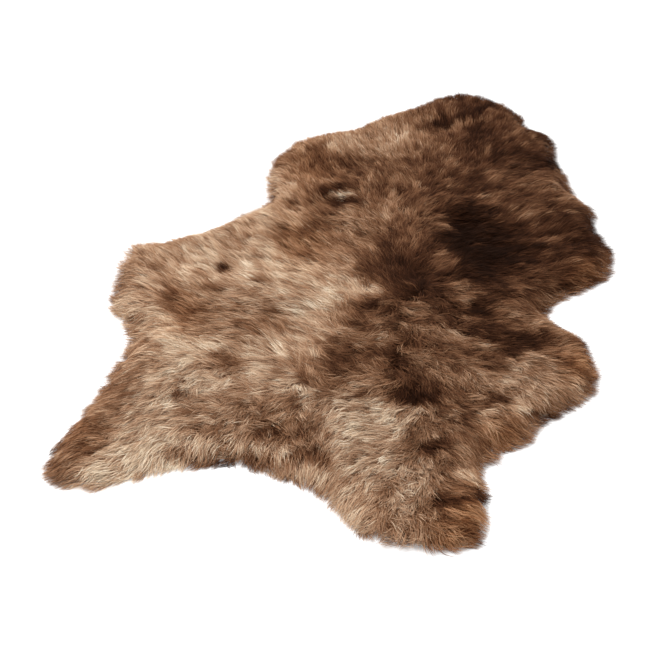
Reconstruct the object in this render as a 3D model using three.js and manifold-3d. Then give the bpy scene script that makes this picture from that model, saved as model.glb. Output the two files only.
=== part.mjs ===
// Icelandic sheepskin: one tanned pelt with its long wool, lying flat with the wool side up.
// Millimetres, +Z up. +Y runs along the back, from the hind legs to the neck. The skin side is at Z = 0.
import * as THREE from "three";
import { ImprovedNoise } from "three/addons/math/ImprovedNoise.js";
import { mergeVertices } from "three/addons/utils/BufferGeometryUtils.js";
import Module from "manifold-3d";

const wasm = await Module();
wasm.setup();

// Driving dimensions
const LOFT = 34; // height of the combed-over wool in the middle of the pelt
const EDGE_LOFT = 11; // height of the wool mass where the rim locks leave it
const RIM_ROLL = 42; // width over which the wool rounds down to the edge
const CELL = 14; // spacing of the points on the wool's surface
const RIM_STEPS = 190; // straight steps round the cut edge
const LOCK_PITCH = 21; // spacing of the locks round the edge
const LOCK_LENGTH = 21; // reach of a middling lock past the cut edge
const LOCK_ROOT = 10; // length of a lock's root inside the wool
const LOCK_WIDTH = 24; // width of a lock where it leaves the wool
const LOCK_HEIGHT = 11; // height of a lock where it leaves the wool
const LOCK_LEAN = 0.3; // share by which a lock leans from square to the edge towards the comb
const LOCK_SPREAD = 12; // degrees that a lock may turn from the way its neighbours lie
const LOCK_SWAY = 4; // most sideways bow of a lock's tip
const LOCK_SHIFT = 0.5; // most that a lock moves along the edge, as a share of the spacing
const LENGTH_SPREAD = 0.4; // share by which the locks' lengths differ from the middling one
const SIZE_SPREAD = 0.2; // the same for their widths and heights

// The cut edge of the wool mass, clockwise seen from above, each point joined by a smooth curve
const RIM = [
  { place: "left hind leg, tip", x: -312, y: -492 },
  { place: "left hind leg, outer edge", x: -314, y: -443 },
  { place: "left hind leg, outer edge", x: -301, y: -372 },
  { place: "left hind leg, outer edge", x: -291, y: -319 },
  { place: "left groin", x: -283, y: -243 },
  { place: "left groin", x: -288, y: -188 },
  { place: "left flank, back corner", x: -326, y: -164 },
  { place: "left flank", x: -352, y: -74 },
  { place: "left flank, front corner", x: -349, y: -16 },
  { place: "left flank, front edge", x: -308, y: 6 },
  { place: "left armpit", x: -214, y: 84 },
  { place: "left armpit", x: -178, y: 143 },
  { place: "left shoulder", x: -188, y: 202 },
  { place: "left shoulder", x: -187, y: 272 },
  { place: "left shoulder", x: -159, y: 329 },
  { place: "left shoulder, front edge", x: -101, y: 367 },
  { place: "left neck", x: -60, y: 409 },
  { place: "left neck", x: 36, y: 493 },
  { place: "neck end", x: 72, y: 521 },
  { place: "neck end", x: 118, y: 516 },
  { place: "right neck", x: 160, y: 492 },
  { place: "right neck, notch", x: 184, y: 446 },
  { place: "right shoulder", x: 224, y: 431 },
  { place: "right shoulder", x: 240, y: 364 },
  { place: "right shoulder", x: 266, y: 306 },
  { place: "right shoulder, notch", x: 277, y: 264 },
  { place: "right foreleg", x: 317, y: 230 },
  { place: "right foreleg", x: 317, y: 190 },
  { place: "right foreleg, tip", x: 346, y: 128 },
  { place: "right foreleg, tip", x: 343, y: 80 },
  { place: "right foreleg, back edge", x: 308, y: 38 },
  { place: "right armpit", x: 274, y: 0 },
  { place: "right armpit", x: 265, y: -38 },
  { place: "right flank, front corner", x: 288, y: -66 },
  { place: "right flank", x: 331, y: -94 },
  { place: "right flank, tip", x: 350, y: -162 },
  { place: "right flank", x: 335, y: -202 },
  { place: "right flank, back edge", x: 281, y: -268 },
  { place: "right flank, back edge", x: 273, y: -300 },
  { place: "right groin", x: 240, y: -322 },
  { place: "right groin", x: 219, y: -364 },
  { place: "right hind leg", x: 229, y: -408 },
  { place: "right hind leg, tip", x: 240, y: -484 },
  { place: "right hind leg, tip", x: 211, y: -509 },
  { place: "right hind leg, inner edge", x: 105, y: -500 },
  { place: "tail end", x: 35, y: -445 },
  { place: "tail end", x: -35, y: -420 },
  { place: "tail end", x: -105, y: -416 },
  { place: "tail end", x: -180, y: -444 },
  { place: "left hind leg, inner edge", x: -268, y: -494 },
];

// The middle of the back, from which the wool lies outwards to both sides
const BACK = { tailX: -45, tailY: -400, neckX: 105, neckY: 470 };

// Broad rises and dips of the wool, each a round swell
const SWELLS = [
  { place: "left hind leg lies low", x: -285, y: -440, reach: 110, rise: -5 },
  { place: "right hind leg", x: 160, y: -430, reach: 90, rise: 3 },
  { place: "tail end", x: -70, y: -370, reach: 90, rise: 3 },
  { place: "left flank", x: -250, y: -90, reach: 120, rise: 2 },
  { place: "middle of the back", x: 40, y: -60, reach: 130, rise: 3 },
  { place: "right flank", x: 270, y: -170, reach: 90, rise: 2 },
  { place: "left shoulder, short wool", x: -100, y: 270, reach: 110, rise: -5 },
  { place: "neck, short wool", x: 95, y: 440, reach: 110, rise: -7 },
  { place: "right shoulder", x: 190, y: 300, reach: 90, rise: -2 },
];

// Partings, hollows and ridges, each a soft trough or ridge turned from +X
const FOLDS = [
  { place: "parting on the neck", x: 60, y: 402, turn: 36, long: 34, wide: 13, rise: -10 },
  { place: "ridge on the neck", x: 90, y: 440, turn: 36, long: 55, wide: 16, rise: 5 },
  { place: "hollow on the left shoulder", x: -77, y: 158, turn: 10, long: 26, wide: 14, rise: -9 },
  { place: "hollow in the short wool", x: -58, y: 262, turn: 20, long: 22, wide: 13, rise: -6 },
  { place: "hollow on the left flank", x: -200, y: -53, turn: 20, long: 22, wide: 14, rise: -9 },
  { place: "parting over the left flank", x: -113, y: -142, turn: 10, long: 50, wide: 15, rise: -7 },
  { place: "parting over the left hind leg", x: -143, y: -249, turn: -6, long: 60, wide: 16, rise: -6 },
  { place: "hollow near the tail", x: -50, y: -386, turn: 30, long: 24, wide: 16, rise: -8 },
  { place: "parting over the tail", x: 58, y: -290, turn: 8, long: 60, wide: 16, rise: -6 },
  { place: "parting down the right hind leg", x: 159, y: -372, turn: -70, long: 40, wide: 15, rise: -6 },
  { place: "parting on the right flank", x: 250, y: -110, turn: -20, long: 50, wide: 16, rise: -6 },
  { place: "ridge over the back", x: 99, y: 120, turn: -35, long: 34, wide: 14, rise: 4 },
  { place: "parting on the right foreleg", x: 250, y: 70, turn: -12, long: 60, wide: 17, rise: -5 },
  { place: "groove on the right shoulder", x: 244, y: 306, turn: -35, long: 45, wide: 14, rise: -6 },
];

// Soft lumps of clumped wool, longer across the back than along it: size each way and height
const LUMPS = [
  { name: "broad", across: 105, along: 66, layer: 0.5, rise: 9 },
  { name: "fine", across: 52, along: 34, layer: 7.5, rise: 5 },
];

// How wide and high a lock is along its reach, as shares of its root and of its length
const LOCK_STATIONS = [
  { along: 0, share: 1 },
  { along: 0.5, share: 0.8 },
  { along: 1, share: 0.24 },
];

// A repeatable source of numbers from 0 to 1
const RANDOM_STEP = 1664525;
const RANDOM_ADD = 1013904223;
const RANDOM_RANGE = 2 ** 32;
let randomState = 20;
function random() {
  randomState = (Math.imul(randomState, RANDOM_STEP) + RANDOM_ADD) >>> 0;
  return randomState / RANDOM_RANGE;
}

// A random value as far as spread to either side of the middle
function spreadAround(middle, spread) {
  return middle + spread * (2 * random() - 1);
}

function rimPoints() {
  const corners = RIM.map(({ x, y }) => new THREE.Vector3(x, y, 0));
  const curve = new THREE.CatmullRomCurve3(corners, true, "centripetal");
  return { curve, points: curve.getSpacedPoints(RIM_STEPS).slice(0, RIM_STEPS) };
}

// How far a place is from the cut edge, inside the outline
function edgeDistance(x, y, points) {
  let nearest = Infinity;
  let inside = false;
  points.forEach((a, i) => {
    const b = points[(i + 1) % points.length];
    const along = ((x - a.x) * (b.x - a.x) + (y - a.y) * (b.y - a.y)) / a.distanceToSquared(b);
    const share = THREE.MathUtils.clamp(along, 0, 1);
    const gap = Math.hypot(x - a.x - share * (b.x - a.x), y - a.y - share * (b.y - a.y));
    nearest = Math.min(nearest, gap);
    const crosses = a.y > y !== b.y > y;
    if (crosses && x < a.x + ((y - a.y) * (b.x - a.x)) / (b.y - a.y)) inside = !inside;
  });
  return inside ? nearest : 0;
}

const noise = new ImprovedNoise();
function lumpHeight(x, y) {
  let height = 0;
  for (const { across, along, layer, rise } of LUMPS) {
    height += rise * noise.noise(x / across, y / along, layer);
  }
  return height;
}

function swellHeight(x, y) {
  let height = 0;
  for (const swell of SWELLS) {
    const away = Math.hypot(x - swell.x, y - swell.y) / swell.reach;
    height += swell.rise * Math.exp(-away * away);
  }
  return height;
}

function foldHeight(x, y) {
  let height = 0;
  for (const fold of FOLDS) {
    const turn = THREE.MathUtils.degToRad(fold.turn);
    const along = (x - fold.x) * Math.cos(turn) + (y - fold.y) * Math.sin(turn);
    const across = (y - fold.y) * Math.cos(turn) - (x - fold.x) * Math.sin(turn);
    height += fold.rise * Math.exp(-((along / fold.long) ** 2) - (across / fold.wide) ** 2);
  }
  return height;
}

// Height of the wool over the floor: a rounded rim, then swells, lumps and folds
function woolHeight(x, y, points) {
  const inward = Math.min(edgeDistance(x, y, points) / RIM_ROLL, 1);
  const roll = Math.sqrt(1 - (1 - inward) ** 2);
  const relief = swellHeight(x, y) + lumpHeight(x, y) + foldHeight(x, y);
  return EDGE_LOFT + roll * (LOFT - EDGE_LOFT + relief);
}

function toSolid(geometry) {
  geometry.deleteAttribute("normal");
  geometry.deleteAttribute("uv");
  const merged = mergeVertices(geometry);
  const vertProperties = new Float32Array(merged.attributes.position.array);
  const triVerts = new Uint32Array(merged.index.array);
  return new wasm.Manifold(new wasm.Mesh({ numProp: 3, vertProperties, triVerts }));
}

function toGeometry(solid) {
  const mesh = solid.getMesh();
  const geometry = new THREE.BufferGeometry();
  geometry.setAttribute("position", new THREE.BufferAttribute(mesh.vertProperties, mesh.numProp));
  geometry.setIndex(new THREE.BufferAttribute(mesh.triVerts, 1));
  geometry.computeVertexNormals();
  return geometry;
}

// A block over the outline's whole box, from below the floor up to the wool's surface
function woolBlock(points) {
  const box = new THREE.Box3().setFromPoints(points).expandByScalar(CELL);
  const size = box.getSize(new THREE.Vector3());
  const centre = box.getCenter(new THREE.Vector3());
  const columns = Math.ceil(size.x / CELL);
  const rows = Math.ceil(size.y / CELL);
  const block = new THREE.BoxGeometry(size.x, size.y, 2 * LOFT, columns, rows, 1);
  block.translate(centre.x, centre.y, 0);
  const position = block.attributes.position;
  for (let i = 0; i < position.count; i += 1) {
    if (position.getZ(i) > 0) {
      position.setZ(i, woolHeight(position.getX(i), position.getY(i), points));
    }
  }
  return toSolid(block);
}

// The outline raised from the floor, which gives the pelt its flat skin side
function outlinePrism(points) {
  const outline = new THREE.Shape(points.map(({ x, y }) => new THREE.Vector2(x, y)));
  return toSolid(new THREE.ExtrudeGeometry(outline, { depth: 2 * LOFT, bevelEnabled: false }));
}

// The way the wool lies at a place: square to the middle of the back, outwards
function combDirection(place) {
  const back = new THREE.Line3(
    new THREE.Vector3(BACK.tailX, BACK.tailY, 0),
    new THREE.Vector3(BACK.neckX, BACK.neckY, 0),
  );
  const nearest = back.closestPointToPoint(place, true, new THREE.Vector3());
  return place.clone().sub(nearest).normalize();
}

// One tapered lock with three sides, its two lower edges flat on the floor
function rimLock(root, direction, length, width, height, sway) {
  const side = new THREE.Vector3(-direction.y, direction.x, 0);
  const corners = [];
  for (const { along, share } of LOCK_STATIONS) {
    const back = along > 0 ? 0 : LOCK_ROOT;
    const middle = root.clone().addScaledVector(direction, along * length - back);
    middle.addScaledVector(side, sway * along ** 2);
    const half = (width * share) / 2;
    const left = middle.clone().addScaledVector(side, half);
    const right = middle.clone().addScaledVector(side, -half);
    const ridge = middle.clone().setZ(height * share);
    corners.push(left, ridge, right);
  }
  const sides = 3;
  const faces = [];
  const lastRing = corners.length - sides;
  for (let ring = 0; ring < lastRing; ring += sides) {
    for (let k = 0; k < sides; k += 1) {
      const a = ring + k;
      const b = ring + ((k + 1) % sides);
      faces.push(a, b, b + sides, a, b + sides, a + sides);
    }
  }
  faces.push(0, 2, 1, lastRing, lastRing + 1, lastRing + 2);
  const geometry = new THREE.BufferGeometry().setFromPoints(corners);
  geometry.setIndex(faces);
  return toSolid(geometry);
}

// The locks stand all round the cut edge, leaning from square to it towards the comb
function rimLocks(curve) {
  const count = Math.round(curve.getLength() / LOCK_PITCH);
  const up = new THREE.Vector3(0, 0, 1);
  const locks = [];
  for (let i = 0; i < count; i += 1) {
    const share = (i + LOCK_SHIFT * random()) / count;
    const root = curve.getPointAt(share);
    const outward = curve.getTangentAt(share).cross(up).negate();
    const direction = outward.lerp(combDirection(root), LOCK_LEAN).normalize();
    direction.applyAxisAngle(up, THREE.MathUtils.degToRad(spreadAround(0, LOCK_SPREAD)));
    const length = spreadAround(LOCK_LENGTH, LOCK_LENGTH * LENGTH_SPREAD);
    const width = spreadAround(LOCK_WIDTH, LOCK_WIDTH * SIZE_SPREAD);
    const height = spreadAround(LOCK_HEIGHT, LOCK_HEIGHT * SIZE_SPREAD);
    const sway = spreadAround(0, LOCK_SWAY);
    locks.push(rimLock(root, direction, length, width, height, sway));
  }
  return locks;
}

function sheepskin() {
  const { curve, points } = rimPoints();
  let pelt = woolBlock(points).intersect(outlinePrism(points));
  for (const lock of rimLocks(curve)) pelt = pelt.add(lock);
  const material = new THREE.MeshStandardMaterial({ color: 0x7a5c43, roughness: 0.95, metalness: 0 });
  const mesh = new THREE.Mesh(toGeometry(pelt), material);
  mesh.name = "sheepskin";
  return mesh;
}

const part = new THREE.Group();
const pelt = sheepskin();
pelt.geometry.computeBoundingBox();
const middle = pelt.geometry.boundingBox.getCenter(new THREE.Vector3());
pelt.position.set(-middle.x, -middle.y, 0);
part.add(pelt);

export default part;
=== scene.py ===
"""Icelandic sheepskin, wool side up on a pale floor. Metres, +Z up, +Y along the back towards the neck.

The wool is many thin tapered blades of mesh, combed by listed directions and coloured by listed
patches. Both are given at the places where the photograph shows them, and the camera's
own geometry carries them onto the pelt.
"""
import math

import bpy
import numpy as np
from mathutils import Color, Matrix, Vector
from mathutils.bvhtree import BVHTree
from mathutils.geometry import delaunay_2d_cdt


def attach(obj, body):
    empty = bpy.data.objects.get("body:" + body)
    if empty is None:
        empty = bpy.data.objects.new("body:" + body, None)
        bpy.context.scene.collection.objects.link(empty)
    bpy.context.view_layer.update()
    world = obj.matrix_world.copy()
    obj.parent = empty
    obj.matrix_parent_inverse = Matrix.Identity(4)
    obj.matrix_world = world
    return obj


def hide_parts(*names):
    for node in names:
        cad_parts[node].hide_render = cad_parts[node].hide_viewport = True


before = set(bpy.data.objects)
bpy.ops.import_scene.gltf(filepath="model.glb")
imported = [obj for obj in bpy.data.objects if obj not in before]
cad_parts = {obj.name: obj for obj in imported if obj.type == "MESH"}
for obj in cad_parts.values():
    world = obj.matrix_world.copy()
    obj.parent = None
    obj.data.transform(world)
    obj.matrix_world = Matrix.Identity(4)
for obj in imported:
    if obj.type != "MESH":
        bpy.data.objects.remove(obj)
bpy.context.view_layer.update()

BODY = "root"
NODE = "sheepskin"
WOOL_COLOUR = "wool_colour"
MAP_NAME = "OFBake"
UPWARDS = (0.0, 0.0, 1.0)

# The photograph's camera, on a turntable round the place that it aims at
PHOTO_SIZE = 660
LENS = 85.0
SENSOR = 36.0
ELEVATION = math.radians(40)
TURN = math.radians(12)
DISTANCE = 2.25
AIM = (-0.0234, -0.1347, 0.0)

# How high the wool's surface lies over most of the pelt, and at its rim, where it falls away within
# about EDGE_FALL
LOFT = 0.034
EDGE_LOFT = 0.011
EDGE_FALL = 0.016

# Wool colours from the darkest to the palest, as red, green and blue from 0 to 255
WOOL_RAMP = [
    {"shade": 0.00, "rgb": (29, 12, 5)},
    {"shade": 0.17, "rgb": (61, 34, 20)},
    {"shade": 0.30, "rgb": (94, 60, 40)},
    {"shade": 0.45, "rgb": (134, 94, 67)},
    {"shade": 0.58, "rgb": (167, 128, 98)},
    {"shade": 0.75, "rgb": (200, 166, 136)},
    {"shade": 0.87, "rgb": (220, 196, 167)},
    {"shade": 1.00, "rgb": (238, 222, 197)},
]

# Where the table of the cut edge has its zero in the part, whose own zero is the middle of its box
RIM_ZERO = (0.0015, -0.0073)

# The cut edge of the skin, clockwise seen from above, joined by a smooth curve: place, x, y in metres
RIM = [
    ("left hind leg, tip", -0.312, -0.492),
    ("left hind leg, outer edge", -0.314, -0.443),
    ("left hind leg, outer edge", -0.301, -0.372),
    ("left hind leg, outer edge", -0.291, -0.319),
    ("left groin", -0.283, -0.243),
    ("left groin", -0.288, -0.188),
    ("left flank, back corner", -0.326, -0.164),
    ("left flank", -0.352, -0.074),
    ("left flank, front corner", -0.349, -0.016),
    ("left flank, front edge", -0.308, 0.006),
    ("left armpit", -0.214, 0.084),
    ("left armpit", -0.178, 0.143),
    ("left shoulder", -0.188, 0.202),
    ("left shoulder", -0.187, 0.272),
    ("left shoulder", -0.159, 0.329),
    ("left shoulder, front edge", -0.101, 0.367),
    ("left neck", -0.060, 0.409),
    ("left neck", 0.036, 0.493),
    ("neck end", 0.072, 0.521),
    ("neck end", 0.118, 0.516),
    ("right neck", 0.160, 0.492),
    ("right neck, notch", 0.184, 0.446),
    ("right shoulder", 0.224, 0.431),
    ("right shoulder", 0.240, 0.364),
    ("right shoulder", 0.266, 0.306),
    ("right shoulder, notch", 0.277, 0.264),
    ("right foreleg", 0.317, 0.230),
    ("right foreleg", 0.317, 0.190),
    ("right foreleg, tip", 0.346, 0.128),
    ("right foreleg, tip", 0.343, 0.080),
    ("right foreleg, back edge", 0.308, 0.038),
    ("right armpit", 0.274, 0.000),
    ("right armpit", 0.265, -0.038),
    ("right flank, front corner", 0.288, -0.066),
    ("right flank", 0.331, -0.094),
    ("right flank, tip", 0.350, -0.162),
    ("right flank", 0.335, -0.202),
    ("right flank, back edge", 0.281, -0.268),
    ("right flank, back edge", 0.273, -0.300),
    ("right groin", 0.240, -0.322),
    ("right groin", 0.219, -0.364),
    ("right hind leg", 0.229, -0.408),
    ("right hind leg, tip", 0.240, -0.484),
    ("right hind leg, tip", 0.211, -0.509),
    ("right hind leg, inner edge", 0.105, -0.500),
    ("tail end", 0.035, -0.445),
    ("tail end", -0.035, -0.420),
    ("tail end", -0.105, -0.416),
    ("tail end", -0.180, -0.444),
    ("left hind leg, inner edge", -0.268, -0.494),
]

# Which way the wool lies, by place. Each row: photo x, photo y, angle on the photo in degrees turned
# from its right. A row counts fully near its place, and by COMB_FAR far from it
COMB = {
    "left hind leg, tip": [
        (60, 470, 195), (60, 450, 215), (80, 480, 200), (80, 460, 210), (80, 440, 210),
        (100, 470, 200), (100, 450, 210),
    ],
    "left hind leg, outer edge": [
        (100, 420, 195), (90, 405, 195), (100, 390, 190), (120, 370, 195), (130, 350, 190),
    ],
    "left hind leg, middle": [
        (150, 365, 200), (120, 400, 205), (140, 410, 215), (160, 390, 220), (120, 430, 205),
        (140, 430, 225), (160, 430, 215), (180, 430, 205),
    ],
    "left hind leg, inner edge": [
        (120, 480, 205), (140, 470, 210), (130, 450, 225), (160, 455, 225), (180, 445, 215),
        (170, 465, 235), (190, 460, 245),
    ],
    "left hind leg, top": [
        (180, 370, 215), (180, 395, 225), (190, 375, 230), (200, 380, 215), (210, 395, 195),
        (190, 405, 185), (200, 430, 210), (200, 450, 235),
    ],
    "left groin": [
        (160, 345, 180), (180, 340, 180), (210, 345, 185), (220, 350, 180), (220, 365, 200),
        (240, 370, 185), (260, 370, 180),
    ],
    "left flank, front corner": [
        (130, 250, 150), (150, 250, 142), (160, 260, 150), (120, 265, 160), (120, 277, 165),
        (170, 265, 150),
    ],
    "left flank, edge": [
        (130, 285, 175), (120, 300, 180), (130, 310, 190), (150, 330, 180),
    ],
    "left flank, front edge": [
        (180, 250, 160), (200, 250, 160), (220, 240, 160), (240, 235, 150),
    ],
    "left flank, middle": [
        (150, 285, 165), (190, 265, 142), (180, 280, 165), (200, 270, 150), (220, 275, 155),
        (200, 290, 172), (150, 300, 185), (170, 300, 182),
    ],
    "left flank, inner": [
        (220, 300, 175), (240, 270, 165), (240, 295, 180), (200, 310, 180), (220, 320, 190),
        (240, 315, 188), (170, 325, 155), (200, 330, 175),
    ],
    "left side, middle": [
        (250, 250, 170), (270, 250, 170), (290, 245, 155), (260, 265, 180), (290, 270, 175),
        (290, 290, 180), (260, 290, 175),
    ],
    "left side, rear": [
        (245, 330, 212), (260, 330, 160), (280, 320, 170), (280, 335, 160), (290, 345, 157),
        (310, 350, 160), (230, 345, 155), (250, 347, 160),
    ],
    "left armpit": [
        (260, 215, 160), (280, 210, 165), (290, 215, 150), (290, 230, 155), (270, 235, 165),
    ],
    "left shoulder, edge": [
        (285, 165, 150), (280, 180, 150), (290, 185, 145), (285, 195, 165), (300, 175, 130),
        (325, 145, 140), (340, 150, 150),
    ],
    "left shoulder, middle": [
        (312, 178, 125), (330, 165, 130), (345, 185, 150), (340, 195, 185), (333, 191, 190),
        (349, 191, 178), (300, 205, 140),
        (310, 225, 160), (330, 225, 160),
    ],
    "left shoulder, inner": [
        (365, 175, 102), (375, 190, 105), (350, 210, 160), (370, 210, 150), (350, 225, 175),
        (370, 225, 168), (382, 225, 150),
    ],
    "front of the left shoulder": [
        (360, 150, 175), (380, 145, 165), (400, 145, 150), (390, 158, 172), (390, 175, 140),
        (400, 170, 150), (410, 180, 160),
    ],
    "left neck": [
        (360, 133, 130), (390, 122, 125), (410, 140, 148), (420, 125, 125), (430, 130, 120),
        (425, 150, 120), (420, 110, 120),
    ],
    "neck end": [
        (440, 115, 110), (440, 100, 105), (460, 110, 80), (460, 97, 85), (480, 115, 65),
        (485, 100, 60), (500, 115, 50),
    ],
    "neck, middle": [
        (440, 135, 110), (435, 145, 100), (450, 155, 95), (465, 145, 62), (475, 150, 50),
        (485, 130, 60), (490, 140, 55),
    ],
    "right neck": [
        (500, 140, 40), (490, 155, 40), (510, 130, 30), (510, 150, 20), (530, 145, 10),
        (530, 132, 25), (545, 150, 10),
    ],
    "right shoulder": [
        (530, 160, 5), (540, 165, 352), (520, 170, 355), (500, 170, 0), (480, 165, 5),
        (560, 180, 332), (545, 175, 342),
    ],
    "behind the neck": [
        (440, 170, 75), (430, 172, 80), (460, 165, 20), (450, 177, 20), (440, 187, 8),
        (425, 187, 345),
    ],
    "dark side, front": [
        (450, 190, 15), (470, 192, 32), (480, 180, 10), (500, 190, 18), (500, 205, 28),
        (520, 180, 355), (520, 192, 5),
    ],
    "right foreleg, front": [
        (540, 190, 355), (560, 190, 0), (540, 200, 20), (560, 205, 30), (580, 205, 355),
        (592, 215, 0),
    ],
    "right foreleg, middle": [
        (520, 210, 15), (570, 215, 35), (560, 225, 20), (545, 235, 15), (580, 235, 0),
        (520, 240, 8), (560, 255, 0),
    ],
    "right foreleg, tip": [
        (590, 250, 350), (600, 260, 346), (600, 270, 8), (580, 285, 10),
    ],
    "right foreleg, back edge": [
        (540, 270, 28), (560, 275, 15), (560, 290, 15), (520, 280, 352), (526, 290, 332),
        (540, 295, 335),
    ],
    "dark side": [
        (480, 210, 345), (480, 235, 355), (500, 235, 0), (500, 270, 350), (480, 260, 350),
    ],
    "back, front half": [
        (400, 200, 45), (410, 195, 30), (415, 210, 25), (400, 215, 60), (390, 215, 110),
        (430, 210, 15),
    ],
    "back, left of the middle": [
        (340, 240, 165), (365, 245, 150), (320, 250, 165), (350, 255, 155), (370, 255, 140),
        (380, 262, 145), (310, 265, 168),
    ],
    "back, right of the middle": [
        (400, 250, 60), (412, 250, 45), (425, 255, 35), (440, 255, 30), (455, 252, 34),
        (450, 228, 320), (395, 235, 120),
    ],
    "back, middle": [
        (350, 270, 170), (330, 265, 160), (320, 285, 175), (360, 283, 160), (380, 270, 150),
        (340, 292, 175), (320, 303, 178),
    ],
    "back, middle, right": [
        (400, 275, 160), (390, 290, 150), (405, 295, 160), (410, 285, 170), (425, 275, 5),
        (440, 270, 350), (435, 282, 350),
    ],
    "behind the dark side": [
        (460, 290, 325), (480, 285, 325), (470, 297, 330), (500, 285, 340), (445, 287, 330),
        (450, 303, 325),
    ],
    "right armpit": [
        (470, 305, 345), (490, 312, 12), (500, 305, 5), (520, 315, 332), (540, 325, 345),
        (535, 305, 345),
    ],
    "back, rear half": [
        (400, 308, 340), (420, 305, 330), (412, 317, 345), (430, 330, 335), (450, 335, 335),
        (440, 340, 345), (420, 345, 340),
    ],
    "dark tufts": [
        (330, 312, 145), (345, 312, 110), (335, 326, 165), (350, 332, 140), (362, 325, 215),
        (372, 320, 205), (382, 326, 208),
    ],
    "behind the dark tufts": [
        (370, 337, 218), (390, 335, 210), (400, 330, 205), (350, 345, 198), (370, 350, 180),
        (390, 347, 130),
    ],
    "loin, front": [
        (350, 360, 152), (362, 366, 145), (380, 360, 150), (330, 352, 168), (315, 372, 120),
        (350, 375, 195), (380, 385, 220),
    ],
    "loin, front, right": [
        (400, 365, 320), (420, 360, 320), (440, 370, 310), (430, 382, 308), (450, 378, 302),
        (405, 385, 270),
    ],
    "right flank, top": [
        (440, 352, 345), (460, 345, 350), (480, 345, 340), (500, 345, 345), (500, 330, 5),
        (520, 335, 5),
    ],
    "right flank, front edge": [
        (550, 330, 0), (562, 340, 24), (577, 335, 28), (540, 340, 5),
    ],
    "right flank, tip": [
        (570, 355, 350), (560, 352, 355), (582, 365, 0), (592, 372, 5), (590, 387, 330),
        (560, 366, 340),
    ],
    "right flank, middle": [
        (520, 355, 322), (530, 370, 315), (540, 368, 330), (550, 377, 330), (560, 383, 330),
        (570, 388, 335), (500, 365, 330),
    ],
    "right flank, inner": [
        (470, 365, 320), (480, 380, 300), (500, 382, 305), (520, 390, 310), (510, 400, 315),
        (530, 405, 325),
    ],
    "right flank, back edge": [
        (560, 397, 345), (560, 410, 5), (540, 415, 0), (520, 422, 350), (540, 427, 355),
        (500, 430, 340),
    ],
    "right groin": [
        (520, 440, 350), (500, 445, 350), (480, 440, 345), (480, 425, 320), (480, 405, 310),
        (500, 418, 330), (480, 455, 325),
    ],
    "loin, right": [
        (440, 400, 305), (440, 425, 310), (440, 415, 310), (460, 425, 310), (470, 420, 310),
        (425, 420, 258), (410, 425, 240),
    ],
    "golden loin": [
        (360, 400, 190), (340, 415, 190), (340, 432, 190), (370, 425, 205), (400, 412, 215),
        (380, 440, 205), (350, 445, 198),
    ],
    "golden loin, low": [
        (360, 457, 205), (400, 440, 200), (390, 457, 215), (410, 452, 222), (340, 468, 212),
        (360, 475, 215), (380, 470, 215),
    ],
    "parting on the thigh": [
        (400, 470, 240), (410, 465, 258), (420, 470, 268), (430, 470, 285), (440, 470, 305),
        (435, 452, 335), (450, 460, 320),
    ],
    "thigh, right": [
        (460, 455, 325), (470, 467, 325), (440, 485, 320), (452, 485, 335), (460, 480, 335),
    ],
    "thigh, outer edge": [
        (470, 492, 350), (482, 490, 355), (455, 505, 345), (470, 515, 347), (450, 530, 355),
        (470, 535, 352), (472, 545, 5),
    ],
    "thigh, left": [
        (340, 490, 215), (360, 495, 228), (380, 490, 235), (400, 490, 250), (340, 510, 225),
        (360, 515, 225), (380, 510, 240),
    ],
    "thigh, middle": [
        (420, 487, 275), (430, 490, 290), (400, 510, 260), (420, 510, 280), (438, 508, 310),
        (420, 530, 272), (440, 530, 335),
    ],
    "thigh, end": [
        (360, 530, 220), (380, 530, 235), (400, 535, 250), (400, 548, 262), (430, 545, 300),
        (450, 545, 332),
    ],
    "tail, left": [
        (220, 385, 160), (250, 390, 178), (270, 395, 178), (240, 407, 255), (250, 430, 190),
        (235, 445, 240), (225, 430, 215),
    ],
    "tail, middle": [
        (280, 385, 200), (300, 398, 250), (290, 410, 280), (260, 412, 270), (270, 430, 235),
        (282, 430, 300), (300, 430, 315),
    ],
    "tail, end": [
        (250, 455, 265), (270, 460, 285), (290, 442, 315), (270, 445, 290), (290, 460, 295),
        (215, 460, 258),
    ],
    "tail, right": [
        (330, 402, 222), (340, 385, 202), (310, 412, 258), (322, 430, 235), (320, 450, 258),
        (312, 470, 280), (330, 490, 222),
    ],
}
COMB_REACH = 17.0
COMB_FAR = 1e-3

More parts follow.
